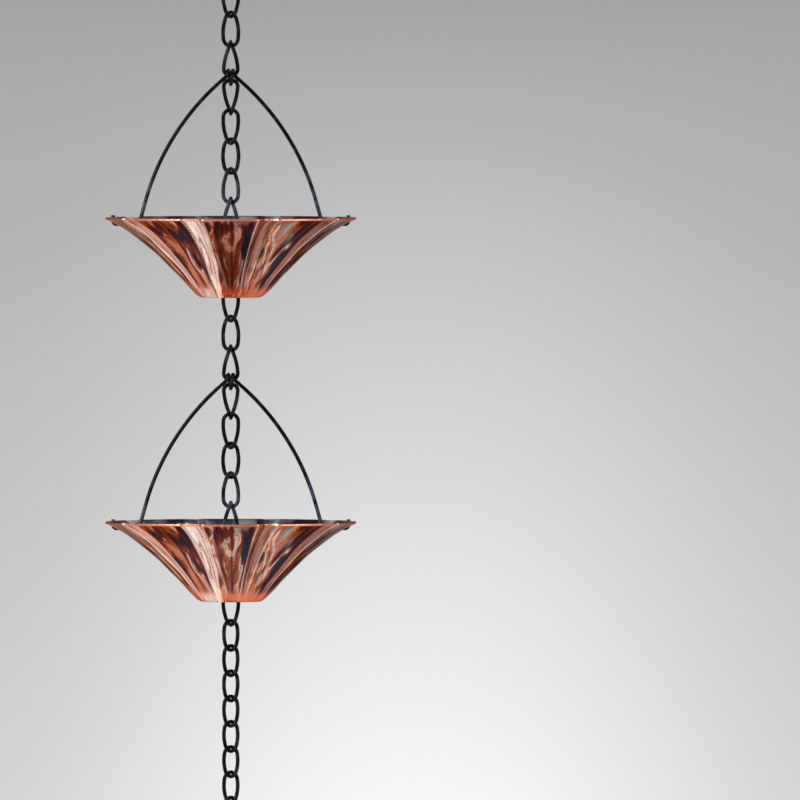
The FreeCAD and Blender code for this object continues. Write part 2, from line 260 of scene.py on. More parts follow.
class Shade:
    """A shader value. Its operators add Math nodes, and add() makes every other node."""

    def __init__(self, tree, socket=None):
        self.tree = tree
        self.socket = socket

    def add(self, kind, settings=None, inputs=None, output=0):
        """A node of a type, with its settings, then its sockets' values or links; gives one output."""
        node = self.tree.nodes.new(kind)
        for key, value in (settings or {}).items():
            setattr(node, key, value)
        for key, value in (inputs or {}).items():
            if isinstance(value, Shade):
                self.tree.links.new(value.socket, node.inputs[key])
            else:
                node.inputs[key].default_value = value
        return Shade(self.tree, node.outputs[output])

    def math(self, operation, first, second=0.0):
        """One Math node."""
        return self.add("ShaderNodeMath", {"operation": operation}, {0: first, 1: second})

    def __add__(self, other):
        return self.math("ADD", self, other)

    def __radd__(self, other):
        return self.math("ADD", other, self)

    def __sub__(self, other):
        return self.math("SUBTRACT", self, other)

    def __rsub__(self, other):
        return self.math("SUBTRACT", other, self)

    def __mul__(self, other):
        return self.math("MULTIPLY", self, other)

    def __rmul__(self, other):
        return self.math("MULTIPLY", other, self)

    def __truediv__(self, other):
        return self.math("DIVIDE", self, other)

    def even(self, low, high):
        """0 below low, 1 above high, straight between them."""
        return self.add("ShaderNodeMapRange", {}, {"Value": self, "From Min": low, "From Max": high})

    def smooth(self, low, high):
        """0 below low, 1 above high, eased between them."""
        settings = {"interpolation_type": "SMOOTHSTEP"}
        return self.add("ShaderNodeMapRange", settings, {"Value": self, "From Min": low, "From Max": high})

    def band(self, start, end):
        """Eases from 0 to 1 over the start's range, and back to 0 over the end's range."""
        return self.smooth(*start) * (1.0 - self.smooth(*end))

    def blend(self, first, second):
        """A colour that goes from first to second as this value goes from 0 to 1."""
        ends = [end if isinstance(end, Shade) else (*end, 1.0) for end in (first, second)]
        settings = {"data_type": "RGBA", "clamp_factor": True}
        # A Mix node's colours are its sockets 6 and 7, and its output 2
        return self.add("ShaderNodeMix", settings, {0: self, 6: ends[0], 7: ends[1]}, output=2)

    def noise(self, vector, scale, detail=2.0, roughness=0.5, distortion=0.0, output="Fac"):
        """Fractal noise at a vector."""
        inputs = {
            "Vector": vector,
            "Scale": scale,
            "Detail": detail,
            "Roughness": roughness,
            "Distortion": distortion,
        }
        return self.add("ShaderNodeTexNoise", {}, inputs, output)

    def stretch(self, vector, scale):
        """A vector scaled along its axes."""
        return self.add("ShaderNodeVectorMath", {"operation": "MULTIPLY"}, {0: vector, 1: scale})

    def push(self, vector, by, amount):
        """A vector moved by a share of another one."""
        settings = {"operation": "MULTIPLY_ADD"}
        return self.add("ShaderNodeVectorMath", settings, {0: by, 1: (amount,) * 3, 2: vector})

    def join(self, x, y, z):
        """A vector from three values."""
        return self.add("ShaderNodeCombineXYZ", {}, {0: x, 1: y, 2: z})

    def part(self, vector, axis):
        """One component of a vector."""
        return self.add("ShaderNodeSeparateXYZ", {}, {0: vector}, output=axis)

    def place(self):
        """Where a point lies in its object."""
        return self.add("ShaderNodeTexCoord", output="Object")

    def bump(self, strength, distance, height):
        """A normal tilted by a height."""
        return self.add("ShaderNodeBump", {}, {"Strength": strength, "Distance": distance, "Height": height})


def new_finish(name, constants):
    """A material with one Principled shader, its fixed values set on its own sockets."""
    material = bpy.data.materials.new(name)
    material.use_nodes = True
    tree = material.node_tree
    shader = tree.nodes["Principled BSDF"]
    for key, value in constants.items():
        shader.inputs[key].default_value = value
    return material, Shade(tree), shader


def drive(shader, **values):
    """Links varying values to the shader's sockets; underscores stand for spaces."""
    for key, value in values.items():
        value.tree.links.new(value.socket, shader.inputs[key.replace("_", " ")])


def black_wire_finish(wire, rim, repeat):
    """Smooth black coat, blue-grey in random patches of wear, with a blue-grey painted highlight just above
    each cup's rim.

    The height over the nearest rim below is what is left of (height - rim) / repeat past
    a whole number; below the lowest rim there is none.
    """
    material, shade, shader = new_finish(COAT, {"Specular IOR Level": 0.06})
    place = shade.place()
    cloud = shade.noise(place, 160.0, 3.0)
    height = (shade.part(place, "Z") - rim) / repeat
    # Painted highlight: blue-grey in cloudy patches just above each cup's rim
    rim_highlight = height.smooth(-0.05, 0.0) * (1.0 - shade.math("FRACT", height).smooth(0.03, 0.20))
    # Wear in random patches, plus the painted highlight above each rim
    thin = cloud.smooth(0.50, 0.72) * 0.25 + rim_highlight * cloud.smooth(0.30, 0.60)
    drive(
        shader,
        Base_Color=thin.blend(wire.coat, wire.worn_and_highlight),
        Roughness=wire.roughness + (cloud - 0.5) * 0.16,
        Normal=shade.bump(0.05, 0.0001, cloud),
    )
    return material


def wire_finish(scene):
    """The wire's coat, made once and shared by links and bails."""
    wire = scene.rain_chain_wire
    rims = [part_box(node)[0].z + scene.rain_chain_cups.depth for node in CUPS]
    return bpy.data.materials.get(COAT) or black_wire_finish(wire, rims[1], rims[0] - rims[1])


def cup_place(shade):
    """Where a point lies on a cup, read from the cup's own two maps."""
    wall = shade.add("ShaderNodeUVMap", {"uv_map": "wall"})
    petal = shade.add("ShaderNodeUVMap", {"uv_map": "fold"})
    at = SimpleNamespace()
    at.turn = shade.part(wall, "X") * (2 * math.pi)
    at.station = shade.part(wall, "Y")
    at.across = shade.part(petal, "X") - 0.5
    at.inside = shade.part(petal, "Y").smooth(0.45, 0.55)
    at.fold = shade.math("ABSOLUTE", at.across) * 2.0
    at.flank = at.fold.smooth(*FLANK)
    at.upper = at.station.smooth(0.14, 0.34)
    at.right_side = at.across.smooth(-0.05, 0.05)
    at.linger = shade.math("COSINE", at.turn - FRONT_FOLD - DARKER_SIDE_TURN)
    return at


def flame_marks(shade, at, pattern):
    """Marks of a flame: noise warped by noise and drawn out down the wall, coarse to fine.

    It is read on a round wall of radius one, at (cos(turn), sin(turn), station + pattern).
    """
    flow = shade.join(shade.math("COSINE", at.turn), shade.math("SINE", at.turn), at.station + pattern)
    swirl = shade.noise(shade.stretch(flow, (1.0, 1.0, 0.5)), 5.0, 1.0, output="Color")
    marks = SimpleNamespace()
    marks.warped = shade.push(shade.stretch(flow, (1.0, 1.0, 0.20)), swirl, 0.36)
    marks.patch = shade.noise(shade.stretch(flow, (1.0, 1.0, 0.8)), 3.1, 2.0)
    marks.veil = shade.noise(marks.warped, 3.6, 3.0)
    marks.streak = shade.noise(marks.warped, 7.0, 2.0, 0.42)
    marks.fine = shade.noise(shade.stretch(flow, (1.0, 1.0, 0.10)), 46.0, 3.0)
    return marks


def flame_heat(shade, at, marks):
    """How hot the sheet got, plus painted shade in a band by each crest, a painted reflection of the chain as
    a dark streak down each petal's middle, and darker films towards the cup's right side.
    """
    # Painted shade in a band by each crest, mostly on a petal's right half, added as heat so that it darkens
    # the films
    crest_shade = at.fold.band(*BESIDE_CREST) * (0.3 + 0.7 * at.right_side)
    # Painted reflection of the chain: a dark streak down each petal's middle, added as heat
    off_middle = shade.math("ABSOLUTE", at.across - 0.03 + (marks.veil - 0.5) * 0.10)
    middle = 1.0 - off_middle.smooth(0.010, 0.045)
    heat = marks.streak + (marks.patch - 0.5) * 0.30 + (marks.veil - 0.5) * 0.25
    heat = heat + crest_shade * 0.07 + middle * 0.07
    # The last term darkens the films towards the cup's right side
    return heat - 0.14 * (1.0 - at.upper) + (marks.fine - 0.5) * 0.05 + 0.065 * at.linger


def film_colour(shade, cup, at, marks, heat):
    """The open faces: warm copper, then brown, dark red and blue-black films as the heat rises.

    Painted highlights in thin lines and streaks show in the cooler places, red rings follow the heat, and
    a grey film lies in patches near the rim.
    """
    tone = heat.smooth(*BROWN_HEAT).blend(cup.warm, cup.brown)
    # Painted highlights along thin lines in the veil noise, in the cooler places
    line_highlight = 1.0 - shade.math("ABSOLUTE", marks.veil - 0.50).smooth(0.004, 0.030)
    line_highlight = line_highlight * (1.0 - heat.smooth(0.46, 0.52))
    # Painted highlights in streaks, drawn out down the wall
    streak_highlight = shade.noise(shade.stretch(marks.warped, (1.0, 1.0, 0.25)), 15.0, 2.0).smooth(0.54, 0.62)
    gleam = shade.math("MAXIMUM", line_highlight * 0.75, streak_highlight * 0.6 * (1.0 - heat.smooth(0.50, 0.55)))
    # The painted highlights are laid on in the highlight colour, stronger up the wall
    tone = (gleam * (0.4 + 0.6 * at.station.smooth(0.35, 0.60))).blend(tone, cup.bright)
    tone = heat.smooth(*RED_HEAT).blend(tone, cup.red)
    rings = shade.math("SINE", heat * 120.0).smooth(0.40, 0.95)
    tone = (rings * heat.smooth(0.38, 0.46) * 0.6).blend(tone, cup.red)
    tone = (heat.smooth(*BLUE_HEAT) * 0.92).blend(tone, cup.blue)
    film = at.station.smooth(0.66, 0.90) * (1.0 - marks.patch).smooth(0.47, 0.57)
    return (film * marks.streak.smooth(0.36, 0.50) * 0.6).blend(tone, cup.grey)


def fold_colour(shade, cup, at, marks, tone):
    """The folds over the films, with painted highlights on their flanks and crests, and the flank highlight's
    strength.

    About every third fold gets a strong painted highlight, stronger on a petal's right half and weaker
    towards the cup's right side.
    """
    # Strength of the painted highlights round the cup, greatest at every third fold
    lit_folds = 0.5 + 0.5 * shade.math("COSINE", (at.turn - FRONT_FOLD) * 3.0)
    # Towards the cup's right side the flanks are redder and their painted highlight weaker
    browned = at.linger.smooth(0.0, 0.8) * 0.6
    # pale is the painted highlight on the flanks
    pale = at.flank * (0.65 + 0.35 * at.right_side) * (0.25 + 0.75 * lit_folds.smooth(0.3, 0.9))
    pale = pale * (1.0 - browned) * (1.0 - marks.fine.smooth(0.50, 0.64) * 0.8)
    sheen = marks.fine.smooth(0.44, 0.58).blend(cup.warm, cup.brown)
    tone = (at.flank * 0.85).blend(tone, browned.blend(sheen, cup.red))
    tone = pale.blend(tone, cup.bright)
    # Painted highlight along each crest
    tone = (at.fold.band(*CREST) * (0.45 + 0.4 * lit_folds)).blend(tone, cup.bright)
    return (at.fold.smooth(*GROOVE) * at.upper * 0.5).blend(tone, cup.red), pale


def edge_colour(shade, cup, at, marks, tone):
    """The floor's edge with one painted highlight at its front left, the inside with its dark upper band, and
    the cut rim.
    """
    low = 1.0 - at.station.smooth(0.17, 0.30)
    tone = (low * 0.85).blend(tone, cup.edge)
    # Painted highlight at one place on the floor's edge, left of the front
    floor_highlight = shade.math("COSINE", at.turn - FRONT_FOLD + 0.3).smooth(0.90, 0.99)
    tone = (low * floor_highlight * 0.75).blend(tone, cup.bright)
    tone = (at.inside * 0.65).blend(tone, cup.inner)
    upper_band = at.inside * (at.station + (marks.streak - 0.5) * 0.12).smooth(0.90, 0.93)
    tone = upper_band.blend(tone, (marks.patch.smooth(0.45, 0.58) * 0.4).blend(cup.blue, cup.grey))
    return (at.station.smooth(0.990, 0.997) * (1.0 - at.inside * 0.7) * 0.85).blend(tone, cup.edge)


def fired_copper_finish(cup):
    """Polished copper sheet coloured by a flame, with painted highlights, painted shade and a painted
    reflection of the chain, and a red-orange rim and floor.
    """
    material, shade, shader = new_finish("fired_copper", {"Specular Tint": (0.55, 0.38, 0.33, 1.0)})
    at = cup_place(shade)
    marks = flame_marks(shade, at, cup.pattern)
    heat = flame_heat(shade, at, marks)
    tone = film_colour(shade, cup, at, marks, heat)
    # pale is the painted highlight on the flanks
    tone, pale = fold_colour(shade, cup, at, marks, tone)
    drive(
        shader,
        Base_Color=edge_colour(shade, cup, at, marks, tone),
        # Less metallic where the flank highlight is painted
        Metallic=1.0 - pale * 0.85,
        Roughness=0.18 + marks.veil * 0.10 + marks.fine * 0.06 + at.inside * 0.1,
        Normal=shade.bump(0.35, 0.0012, heat + marks.fine * 0.06),
    )
    return material


def amber_glass_finish(drop, low, high):
    """Clear amber glass, honey-coloured towards the neck, with faint streaks in the melt."""
    constants = {"Transmission Weight": 1.0, "IOR": 1.5, "Roughness": 0.02}
    material, shade, shader = new_finish("honey_glass", constants)
    place = shade.place()
    rise = (shade.part(place, "Z") - low) / (high - low)
    melt = shade.noise(shade.stretch(place, (1.0, 1.0, 0.35)), 95.0, distortion=1.2)
    tone = (rise.smooth(0.35, 1.0) * 0.8 + (melt - 0.5) * 0.35).blend(drop.amber, drop.honey)
    drive(shader, Base_Color=tone)
    return material


def drop_wire_finish(drop):
    """Bright drawn copper wire, browned in small spots."""
    material, shade, shader = new_finish("drop_wire", {"Metallic": 1.0})
    place = shade.place()
    spots = shade.noise(place, 420.0, 3.0)
    brown = tuple(0.35 * tone for tone in drop.wire)
    drive(
        shader,
        Base_Color=(spots.smooth(0.5, 0.75) * 0.7).blend(drop.wire, brown),
        Roughness=0.24 + spots * 0.18,
        Normal=shade.bump(0.1, 0.0002, shade.noise(place, 3200.0)),
    )
    return material


def unit(vectors):
    """Vectors scaled to length one."""
    return vectors / np.linalg.norm(vectors, axis=-1, keepdims=True)


def full_turn(steps):
    """The angles of a whole turn in even steps, without its end."""
    return np.linspace(0.0, 2 * np.pi, steps, endpoint=False)


def turned(points, degrees):
    """Points turned about the upright axis."""
    cosine, sine = math.cos(math.radians(degrees)), math.sin(math.radians(degrees))
    return points @ np.array([[cosine, sine, 0], [-sine, cosine, 0], [0, 0, 1]])


def round_points(reach, turn, height):
    """Points from their radius and turn about the upright axis, and their height."""
    reach, turn, height = np.broadcast_arrays(reach, turn, height)
    return np.stack([reach * np.cos(turn), reach * np.sin(turn), height], axis=-1)


def bezier(share, *controls):
    """A cubic Bezier curve's values at shares from 0 to 1, from its four control values."""
    rest = 1.0 - share
    weights = np.stack([rest**3, 3 * rest**2 * share, 3 * rest * share**2, share**3])
    return np.array(controls) @ weights


def grid_mesh(name, points, closed=True):
    """A surface from points[row, column], joined round its columns, faces outwards.

    Its rows are joined round as well, or else its first and last rows are closed by a flat face.
    """
    rows, columns = points.shape[:2]
    index = np.arange(rows * columns).reshape(rows, columns)
    right = np.roll(index, -1, axis=1)
    faces = np.stack([index, right, np.roll(right, -1, axis=0), np.roll(index, -1, axis=0)], axis=-1)
    sides = (faces if closed else faces[:-1]).reshape(-1, 4)
    caps = [] if closed else [index[0][::-1].tolist(), index[-1].tolist()]
    mesh = bpy.data.meshes.new(name)
    mesh.from_pydata(points.reshape(-1, 3), [], [*sides.tolist(), *caps])
    mesh.polygons.foreach_set("use_smooth", np.ones(len(mesh.polygons), dtype=bool))
    mesh.update()
    return mesh


def put_map(mesh, name, left, right, low, high):
    """A UV map for a grid mesh: u runs over the columns from left to right, v over the rows."""
    across = np.stack([left, right, right, left], axis=-1)
    along = np.stack([low, low, high, high], axis=-1)
    corners = np.empty((len(low), len(left), 4, 2), dtype=np.float32)
    corners[..., 0] = across[None]
    corners[..., 1] = along[:, None]
    mesh.uv_layers.new(name=name).data.foreach_set("uv", corners.reshape(-1))


def add_piece(node, ending, points, finish, closed=True):
    """A smooth grid as a piece that rides with a node and stands for it."""
    piece = bpy.data.objects.new(node + ending, grid_mesh(node + ending, points, closed))
    bpy.context.scene.collection.objects.link(piece)
    piece.data.materials.append(finish)
    piece.data.set_sharp_from_angle(angle=SHARP_ANGLE)
    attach(piece, node)
    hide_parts(node)
    return piece


def cut_hole(piece, reach, radius, height, turn=0.0):
    """Cuts a round hole across the chain through a piece, and keeps the result as the piece's mesh.

    The cutter is a rod: a ring at each end, closed by a flat face.
    """
    angle = full_turn(32)
    points = np.empty((2, len(angle), 3))
    points[..., 0] = np.array([[-reach], [reach]])
    points[..., 1] = radius * np.cos(angle)
    points[..., 2] = height + radius * np.sin(angle)
    cutter = bpy.data.objects.new("cutter", grid_mesh("cutter", turned(points, turn), closed=False))
    bpy.context.scene.collection.objects.link(cutter)
    cut = piece.modifiers.new("hole", "BOOLEAN")
    cut.operation = "DIFFERENCE"
    cut.solver = "EXACT"
    cut.object = cutter
    shown = piece.evaluated_get(bpy.context.evaluated_depsgraph_get())
    mesh = bpy.data.meshes.new_from_object(shown)
    piece.modifiers.remove(cut)
    old = piece.data
    piece.data = mesh
    mesh.name = piece.name
    bpy.data.meshes.remove(old)
    bpy.data.objects.remove(cutter)
    mesh.set_sharp_from_angle(angle=SHARP_ANGLE)
    if not len(mesh.polygons):
        raise RuntimeError(f"{piece.name}: nothing is left after the cut")


def bent_path(corners, bends, steps, closed):
    """Points and headings along straight runs joined by tangent arcs.

    At a corner, half the turn is h and the arc's middle lies inwards at radius / cos(h). Its
    points are middle - inward * radius * cos(a) + onward * radius * sin(a), for a from -h to h.
    """
    corner = corners if closed else corners[1:-1]
    back = unit((np.roll(corners, 1, axis=0) if closed else corners[:-2]) - corner)
    ahead = unit((np.roll(corners, -1, axis=0) if closed else corners[2:]) - corner)
    half_turn = (np.pi - np.arccos(np.sum(back * ahead, axis=-1))) / 2
    inward, onward = unit(back + ahead)[:, None], unit(ahead - back)[:, None]
    radius = np.asarray(bends)[:, None, None]
    middle = corner[:, None] + inward * radius / np.cos(half_turn)[:, None, None]
    angle = (half_turn[:, None] * np.linspace(-1.0, 1.0, steps))[..., None]
    points = middle + radius * (onward * np.sin(angle) - inward * np.cos(angle))
    headings = onward * np.cos(angle) + inward * np.sin(angle)
    points, headings = points.reshape(-1, 3), headings.reshape(-1, 3)
    if closed:
        return points, headings
    ends = unit(np.stack([corners[1] - corners[0], corners[-1] - corners[-2]]))
    points = np.concatenate([corners[:1], points, corners[-1:]])
    return points, np.concatenate([ends[:1], headings, ends[1:]])


def wire_skin(points, headings, aside, radius, sides=24):
    """A round profile carried along a path, as points[row, column].

    aside is a direction that is never along the wire. The profile is
    point + radius * (cos(a) * first + sin(a) * second), with first square to the
    heading in the plane of aside, and second square to both.
    """
    first = unit(aside - headings * np.sum(aside * headings, axis=-1, keepdims=True))
    second = np.cross(headings, first)
    angle = full_turn(sides)[:, None]
    round_way = first[:, None] * np.cos(angle) + second[:, None] * np.sin(angle)
    return points[:, None] + np.reshape(radius, (-1, 1, 1)) * round_way


def link_skin(side, crown, bend, wire, half, turn, height):
    """A twisted link: a closed wire round six corners, three of them turned half a turn.

    Its upper bow is turned 45 degrees one way and its lower bow 45 degrees the other way.
    """
    out = np.array([[crown, 0.0, 0.0]])
    up = np.array([[0.0, 0.0, half]])
    half_loop = np.concatenate([turned(out, 45.0) + up, [[side, 0.0, 0.0]], turned(out, -45.0) - up])
    corners = np.concatenate([half_loop, turned(half_loop[::-1], 180.0)])
    bends = [bend, wire.side_bend, bend] * 2
    points, headings = bent_path(corners, bends, 15, closed=True)
    return turned(wire_skin(points, headings, points, wire.wire / 2), turn) + [0.0, 0.0, height]


def cup_wall(station, cup):
    """Radius and height of the skin on a petal's edge.

    A cubic Bezier curve over station 0 to 1: level at the floor's edge, then
    up and out to the rim.
    """
    radius = bezier(station, cup.floor_radius, cup.floor_turn, cup.flare_radius, cup.rim_radius)
    return radius, bezier(station, 0.0, 0.0, cup.flare_height, cup.depth)


def groove_share(station, cup):
    """Depth of the grooves as a share of the radius: a quarter sine wave from the floor up."""
    rise = np.clip((station - GROOVE_START) / (GROOVE_FULL - GROOVE_START), 0.0, 1.0)
    return cup.groove_depth / cup.rim_radius * np.sin(rise * np.pi / 2)


def groove_reach(height, cup):
    """Radius of the outer skin along a groove, at a height over the floor."""
    stations = np.linspace(0.0, 1.0, 2001)
    radius, rise = cup_wall(stations, cup)
    return (radius * (1 - groove_share(stations, cup)))[np.searchsorted(rise, height)]


def petal_depth(angle):
    """Share of the groove's depth at an angle from a petal's middle.

    Straight runs between the petal's named angles, averaged over a small
    window so that each fold has a small round.
    """
    window = np.linspace(-FOLD_ROUND, FOLD_ROUND, 9)
    folded = HALF_PETAL - np.abs(HALF_PETAL - np.abs(angle[..., None] + window))
    return np.interp(folded, PETAL_ANGLE, PETAL_DEPTH).mean(axis=-1)


def ripple_wave(turn, station):
    """Hand-worked ripples: two sine waves up the wall, each shifted by three waves round the cup."""
    shift = np.cos(5 * turn + 1.3) + 0.6 * np.cos(13 * turn + 0.4) + 0.5 * np.sin(31 * turn + 2.0)
    wave = np.sin(9.0 * station + 2.2 * shift) + 0.6 * np.sin(21.0 * station - 3.1 * shift + 4 * turn)
    return np.sin(np.pi * station) ** 0.7 * wave


def cup_rows(cup):
    """Radius, height, station and skin (0 outer, 1 inner) of each row of a cup's sheet.

    Rows run from the drain hole along the underside, up the outer wall, over a half-round
    rim, down the inner wall and back to the hole. The inner skin is the outer one lifted by
    the sheet's thickness.
    """
    along_floor = np.linspace(0.0, 1.0, FLOOR_ROWS, endpoint=False)
    along_wall = np.linspace(0.0, 1.0, WALL_ROWS)
    over_rim = np.linspace(0.0, np.pi, RIM_ROWS + 2)[1:-1]
    floor_radius = cup.drain_radius + (cup.floor_radius - cup.drain_radius) * along_floor
    wall_radius, wall_height = cup_wall(along_wall, cup)
    rim_radius = cup.rim_radius + RIM_BULGE * cup.sheet / 2 * np.sin(over_rim)
    rim_height = cup.depth + cup.sheet / 2 * (1 - np.cos(over_rim))
    flat, wall, rim = np.zeros(FLOOR_ROWS), np.zeros(WALL_ROWS), np.ones(RIM_ROWS)
    radius = np.concatenate([floor_radius, wall_radius, rim_radius, wall_radius[::-1], floor_radius[::-1]])
    height = np.concatenate([flat, wall_height, rim_height, wall_height[::-1] + cup.sheet, flat + cup.sheet])
    station = np.concatenate([flat, along_wall, rim, along_wall[::-1], flat])
    skin = np.concatenate([flat, wall, 0.5 * rim, wall + 1, flat + 1])
    return radius, height, station, skin


def cup_points(cup, floor):
    """The sheet's whole skin as points[row, column], with its two UV maps.

    Columns run round the cup, and rows as cup_rows gives them. A point's radius is
    its row's radius less the groove's depth there, and the ripple. The map named wall holds the
    share of a turn and the station on the wall; the map named fold holds the place across a
    petal, 0 to 1 from groove to groove, and which skin it is.
    """
    half = np.append(FOLD_ANGLES, HALF_PETAL)
    petal = np.concatenate([-half[:0:-1], half[:-1]])
    pitch = 360.0 / cup.petals
    squeeze = pitch / (2 * HALF_PETAL)
    middles = pitch * np.arange(cup.petals) - 90.0
    across = np.tile(petal, cup.petals)
    width = np.tile(np.diff(np.append(petal, HALF_PETAL)), cup.petals)
    turn = np.radians(np.repeat(middles, len(petal)) + across * squeeze)

    radius, height, station, skin = cup_rows(cup)
    reach = radius[:, None] * (1 - groove_share(station, cup)[:, None] * petal_depth(across))
    reach = reach + cup.ripple * ripple_wave(turn, station[:, None])
    points = round_points(reach, turn, floor + height[:, None])

    share = turn / (2 * np.pi)
    side = across / (2 * HALF_PETAL) + 0.5
    wall = (share, share + width * squeeze / 360.0, station, np.roll(station, -1))
    fold = (side, side + width / (2 * HALF_PETAL), skin, np.roll(skin, -1))
    return points, {"wall": wall, "fold": fold}


def bail_side(wire, cup):
    """Corners and bends of a bail's wire, from the eye's underside over a leg to an upturned hook.

    The eye is one turn and a half about the X axis, laid out by square corners.
    """
    radius, quarter = wire.eye_radius, wire.eye_lead / 4
    level = -wire.cup_drop - cup.hook_depth
    inside = groove_reach(cup.depth - cup.hook_depth - cup.hook_radius - cup.sheet, cup)
    leg = np.array([3.5 * quarter, radius, wire.eye_exit_rise])
    knee = np.array(wire.knee)
    foot = np.array([inside - wire.hook_bend, 0.0, level])
    corners = np.array(
        [
            [0.5 * quarter, -radius, -radius],
            [1.5 * quarter, -radius, radius],
            [2.5 * quarter, radius, radius],
            leg,
            knee,
            foot,
            [wire.hook_reach, 0.0, level],
            [wire.hook_reach, 0.0, wire.hook_tip - wire.cup_drop],
        ]
    )
    back, ahead = leg - knee, foot - knee
    half_turn = (np.pi - math.acos(unit(back) @ unit(ahead))) / 2
    shorter = min(np.linalg.norm(back), np.linalg.norm(ahead))
    bow = wire.leg_bow * shorter / math.tan(half_turn)
    return corners, [radius, radius, wire.eye_bend, wire.eye_bend, bow, wire.hook_bend, wire.hook_bend]


def bail_skin(wire, cup, eye):
    """A bail: an open wire from one upturned hook over a leg, the eye and the other leg.

    The first half of the wire is the second one turned half a turn. The cut ends are
    rounded by rings that close in along a quarter circle.
    """
    side, bends = bail_side(wire, cup)
    corners = np.concatenate([turned(side[::-1], 180.0), side])
    points, headings = bent_path(corners, bends[::-1] + bends, 21, closed=False)
    # Beside the eye the profile starts from the X axis, and along the legs from the Y axis
    away = np.linalg.norm(points, axis=-1) / wire.eye_radius
    from_eye = np.clip((away - 1.5) / 2, 0.0, 1.0)[:, None]
    aside = (1 - from_eye) * [1.0, 0.0, 0.0] + from_eye * [0.0, 1.0, 0.0] * np.sign(points[:, :1] + 1e-9)

    angle = np.linspace(0.0, np.pi / 2, 5)
    shrink = wire.tip_round * (1 - np.cos(angle))
    sink = wire.tip_round * (1 - np.sin(angle))[:, None]
    start, finish = points[0] + headings[0] * sink[::-1], points[-1] - headings[-1] * sink
    points = np.concatenate([start, points[1:-1], finish])
    copies = np.ones(len(headings), dtype=int)
    copies[[0, -1]] = len(angle)
    headings, aside = headings.repeat(copies, axis=0), aside.repeat(copies, axis=0)
    thickness = np.full(len(points), wire.wire / 2)
    thickness[: len(angle)] -= shrink[::-1]
    thickness[-len(angle) :] -= shrink
    return wire_skin(points, headings, aside, thickness) + [0.0, 0.0, eye]


def drop_wire_skin(drop, low, high):
    """The drop's wire: a closed narrow triangle, bow at the top and straight foot below."""
    top, foot = high - drop.wire_size / 2, low + drop.wire_size / 2
    corners = np.array(
        [
            [drop.crown_half, 0.0, top],
            [drop.foot_half, 0.0, foot],
            [-drop.foot_half, 0.0, foot],
            [-drop.crown_half, 0.0, top],
        ]
    )
    bends = [drop.crown_bend, drop.foot_bend, drop.foot_bend, drop.crown_bend]
    points, headings = bent_path(corners, bends, 17, closed=True)
    aside = points - [0.0, 0.0, foot + (top - foot) * 0.35]
    return turned(wire_skin(points, headings, aside, drop.wire_size / 2, 20), DROP_TURN)


def drop_skin(drop, low, high):
    """The glass drop, a profile turned about the upright axis, from its foot up.

    From the flat top a cubic Bezier curve runs down the neck to the widest place, and a quarter
    circle closes the belly.
    """
    middle = low + drop.radius
    half_way = (middle - high) / 2
    share = np.linspace(0.0, 1.0, 72)
    neck_reach = bezier(share, drop.tip, drop.neck, drop.radius, drop.radius)
    neck_height = bezier(share, high, high + half_way, middle - half_way, middle)
    belly = np.linspace(0.0, np.pi / 2, 44)[1:-1]
    reach = np.concatenate([[0.5 * drop.tip], neck_reach, drop.radius * np.cos(belly)])
    height = np.concatenate([[high], neck_height, middle - drop.radius * np.sin(belly)])
    return round_points(reach[::-1, None], full_turn(96), height[::-1, None])


class RAIN_CHAIN_OT_cups(bpy.types.Operator):
    """Makes the two fluted copper cups"""

    bl_idname = "rain_chain.cups"
    bl_label = "Copper Cups"

    def execute(self, context):
        cup = context.scene.rain_chain_cups
        finish = fired_copper_finish(cup)
        for node in CUPS:
            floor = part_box(node)[0].z
            points, maps = cup_points(cup, floor)
            piece = add_piece(node, "_copper", points, finish)
            for name, edges in maps.items():
                put_map(piece.data, name, *edges)
            cut_hole(piece, cup.rim_radius, cup.hook_radius, floor + cup.depth - cup.hook_depth)
        return {"FINISHED"}


class RAIN_CHAIN_OT_links(bpy.types.Operator):
    """Makes the links of the chain and of its tail"""

    bl_idname = "rain_chain.links"
    bl_label = "Links"

    def execute(self, context):
        wire = context.scene.rain_chain_wire
        finish = wire_finish(context.scene)
        turns = TOP_TURNS + UPPER_TURNS + LOWER_TURNS
        chain = (wire.link_side, wire.link_crown, wire.link_bend)
        tail = (wire.tail_side, wire.tail_crown, wire.tail_bend)
        links = [(f"link_{n:02d}", chain, turn) for n, turn in enumerate(turns, 1)]
        links += [(node, tail, TAIL_TURN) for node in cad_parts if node.startswith("tail_link_")]
        for node, form, turn in links:
            low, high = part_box(node)
            half = (high.z - low.z - wire.wire) / 2
            points = link_skin(*form, wire, half, turn, (low.z + high.z) / 2)
            add_piece(node, "_wire", points, finish)
        return {"FINISHED"}


class RAIN_CHAIN_OT_bails(bpy.types.Operator):
    """Makes the bails that carry the cups"""

    bl_idname = "rain_chain.bails"
    bl_label = "Bails"

    def execute(self, context):
        wire = context.scene.rain_chain_wire
        cup = context.scene.rain_chain_cups
        finish = wire_finish(context.scene)
        for node in BAILS:
            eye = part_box(node)[0].z + wire.wire / 2 + wire.cup_drop + cup.hook_depth
            add_piece(node, "_wire", bail_skin(wire, cup, eye), finish, closed=False)
        return {"FINISHED"}


class RAIN_CHAIN_OT_drop(bpy.types.Operator):
    """Makes the glass drop and its wire"""

    bl_idname = "rain_chain.drop"
    bl_label = "Glass Drop"

    def execute(self, context):
        drop = context.scene.rain_chain_drop
        low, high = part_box("drop_bail")
        points = drop_wire_skin(drop, low.z, high.z)
        add_piece("drop_bail", "_wire", points, drop_wire_finish(drop))
        low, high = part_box("glass_drop")
        points = drop_skin(drop, low.z, high.z)
        finish = amber_glass_finish(drop, low.z, high.z)
        glass = add_piece("glass_drop", "_glass", points, finish, closed=False)
        cut_hole(glass, drop.radius, drop.hole_radius, high.z - drop.hole_depth, DROP_TURN)
        return {"FINISHED"}


